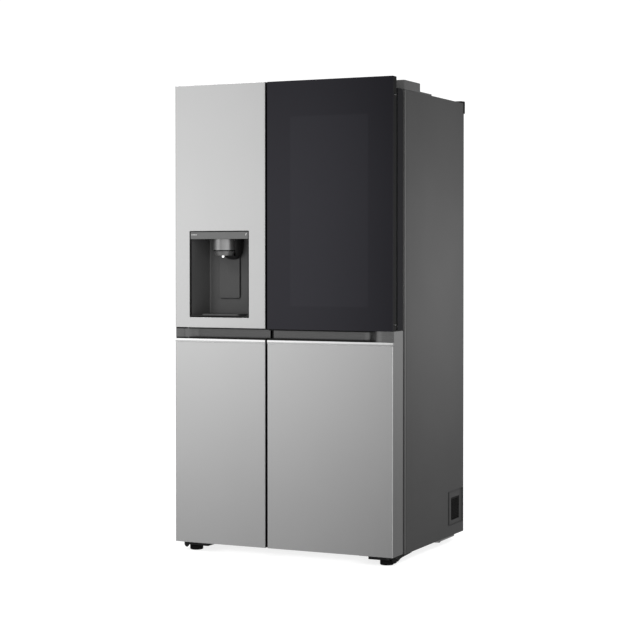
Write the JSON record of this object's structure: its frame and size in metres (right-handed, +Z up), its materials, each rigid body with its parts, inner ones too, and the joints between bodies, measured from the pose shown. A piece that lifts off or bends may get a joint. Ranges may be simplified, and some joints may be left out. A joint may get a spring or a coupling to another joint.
{
  "type": "side by side refrigerator",
  "caption": "Two-door upright refrigerator: a freezer door with an ice and water dispenser beside a fridge door that carries a glazed outer door, on feet and rollers.",
  "frame": {"origin": "on the floor, at the middle of the whole refrigerator's footprint", "axes": "+Z up; the doors face -Y; the freezer door is at -X and the fridge door at +X"},
  "size_m": [0.908, 0.745, 1.79],
  "materials": {
    "steel": "brushed, fine vertical grain, light reflections",
    "bright": "polished bevelled strip",
    "case_grey": "satin dark grey paint, fine texture",
    "zinc": "galvanised sheet, faint spangle",
    "black_paint": "satin black paint",
    "black_plastic": "moulded, fine grain",
    "dark_plastic": "satin dark grey",
    "recess_grey": "metallic dark grey, soft gloss",
    "foam": "closed-cell insulation, hidden",
    "white_plastic": "white moulded liner",
    "clear_plastic": "clear moulded or toughened sheet",
    "seal_grey": "soft ribbed seal",
    "black_glass": "black tinted toughened glass, mirror-like",
    "display_grey": "smooth touch strip",
    "silver_plastic": "silver satin",
    "aluminium": "plain fins"
  },
  "bodies": {
    "cabinet": {"side_panel_left": "case_grey", "side_panel_right": "case_grey", "top_panel": "case_grey", "back_panel": "zinc", "cabinet_foam": "foam", "freezer_liner": "white_plastic", "fridge_liner": "white_plastic", "base_frame": "zinc", "machine_cover": "zinc", "vent_grille_left": "black_plastic", "vent_grille_right": "black_plastic", "rear_cap_left": "black_plastic", "rear_cap_right": "black_plastic", "hinge_cover_left": "case_grey", "hinge_cover_right": "case_grey", "top_hinge_left": "zinc", "top_hinge_right": "zinc", "bottom_hinge_left": "black_paint", "bottom_hinge_right": "black_paint", "compressor": "black_paint", "condenser": "black_paint", "evaporator": "aluminium", "evaporator_cover": "white_plastic", "ice_maker": "white_plastic", "freezer_shelf": "clear_plastic", "fridge_shelf_lower": "clear_plastic", "fridge_shelf_upper": "clear_plastic"},
    "left_foot": {"levelling_foot_left": "black_plastic"},
    "right_foot": {"levelling_foot_right": "black_plastic"},
    "left_roller": {"roller_left": "black_plastic"},
    "right_roller": {"roller_right": "black_plastic"},
    "machine_fan": {"condenser_fan": "dark_plastic"},
    "cold_fan": {"evaporator_fan": "dark_plastic"},
    "upper_freezer_drawer": {"freezer_drawer_upper": "clear_plastic"},
    "lower_freezer_drawer": {"freezer_drawer_lower": "clear_plastic"},
    "upper_crisper": {"crisper_upper": "clear_plastic"},
    "lower_crisper": {"crisper_lower": "clear_plastic"},
    "freezer_door": {"freezer_door_core": "white_plastic", "freezer_panel_upper": "steel", "freezer_panel_lower": "steel", "freezer_handle_pocket": "recess_grey", "freezer_handle_trim": "bright", "freezer_gasket": "seal_grey", "dispenser_housing": "dark_plastic", "dispenser_display": "display_grey", "dispenser_nozzle": "silver_plastic", "freezer_door_basket": "clear_plastic"},
    "paddle": {"dispenser_paddle": "dark_plastic"},
    "tray": {"drip_tray": "dark_plastic"},
    "fridge_door": {"fridge_door_core": "white_plastic", "fridge_panel_lower": "steel", "fridge_handle_pocket": "recess_grey", "fridge_handle_trim": "bright", "fridge_gasket": "seal_grey", "fridge_door_basket": "clear_plastic", "glass_door_hinge": "black_paint"},
    "glass_door": {"glass_door_frame": "black_plastic", "glass_door_panel": "black_glass", "glass_door_gasket": "seal_grey"},
    "release_lever": {"glass_release_lever": "dark_plastic"}
  },
  "joints": [
    {"name": "freezer_door_swing", "type": "hinge", "parent": "cabinet", "child": "freezer_door", "pos_m": [-0.426, -0.3185, 0.9], "axis": [0, 0, -1], "range_deg": [0, 110]},
    {"name": "fridge_door_swing", "type": "hinge", "parent": "cabinet", "child": "fridge_door", "pos_m": [0.426, -0.3185, 0.9], "axis": [0, 0, 1], "range_deg": [0, 110]},
    {"name": "glass_door_swing", "type": "hinge", "parent": "fridge_door", "child": "glass_door", "pos_m": [0.44, -0.3485, 1.3], "axis": [0, 0, 1], "range_deg": [0, 100]},
    {"name": "release_lever_pull", "type": "hinge", "parent": "glass_door", "child": "release_lever", "pos_m": [0.07, -0.3465, 0.867], "axis": [-1, 0, 0], "range_deg": [0, 14], "stiffness_Nm_per_rad": 0.4},
    {"name": "dispenser_push", "type": "hinge", "parent": "freezer_door", "child": "paddle", "pos_m": [-0.263, -0.285, 1.152], "axis": [1, 0, 0], "range_deg": [0, 5], "stiffness_Nm_per_rad": 2},
    {"name": "drip_tray_pull", "type": "slide", "parent": "freezer_door", "child": "tray", "axis": [0, -1, 0], "range_m": [0, 0.06]},
    {"name": "upper_freezer_drawer_slide", "type": "slide", "parent": "cabinet", "child": "upper_freezer_drawer", "axis": [0, -1, 0], "range_m": [0, 0.105]},
    {"name": "lower_freezer_drawer_slide", "type": "slide", "parent": "cabinet", "child": "lower_freezer_drawer", "axis": [0, -1, 0], "range_m": [0, 0.105]},
    {"name": "upper_crisper_slide", "type": "slide", "parent": "cabinet", "child": "upper_crisper", "axis": [0, -1, 0], "range_m": [0, 0.105]},
    {"name": "lower_crisper_slide", "type": "slide", "parent": "cabinet", "child": "lower_crisper", "axis": [0, -1, 0], "range_m": [0, 0.105]},
    {"name": "left_foot_turn", "type": "hinge", "parent": "cabinet", "child": "left_foot", "pos_m": [-0.401, -0.3015, 0], "axis": [0, 0, 1], "continuous": true},
    {"name": "right_foot_turn", "type": "hinge", "parent": "cabinet", "child": "right_foot", "pos_m": [0.401, -0.3015, 0], "axis": [0, 0, 1], "continuous": true},
    {"name": "left_roller_spin", "type": "hinge", "parent": "cabinet", "child": "left_roller", "pos_m": [-0.39, 0.2325, 0.02], "axis": [1, 0, 0], "continuous": true},
    {"name": "right_roller_spin", "type": "hinge", "parent": "cabinet", "child": "right_roller", "pos_m": [0.39, 0.2325, 0.02], "axis": [1, 0, 0], "continuous": true},
    {"name": "machine_fan_spin", "type": "hinge", "parent": "cabinet", "child": "machine_fan", "pos_m": [-0.04, 0.2555, 0.14], "axis": [1, 0, 0], "continuous": true},
    {"name": "cold_fan_spin", "type": "hinge", "parent": "cabinet", "child": "cold_fan", "pos_m": [-0.2505, 0.2675, 1.05], "axis": [0, 1, 0], "continuous": true}
  ]
}
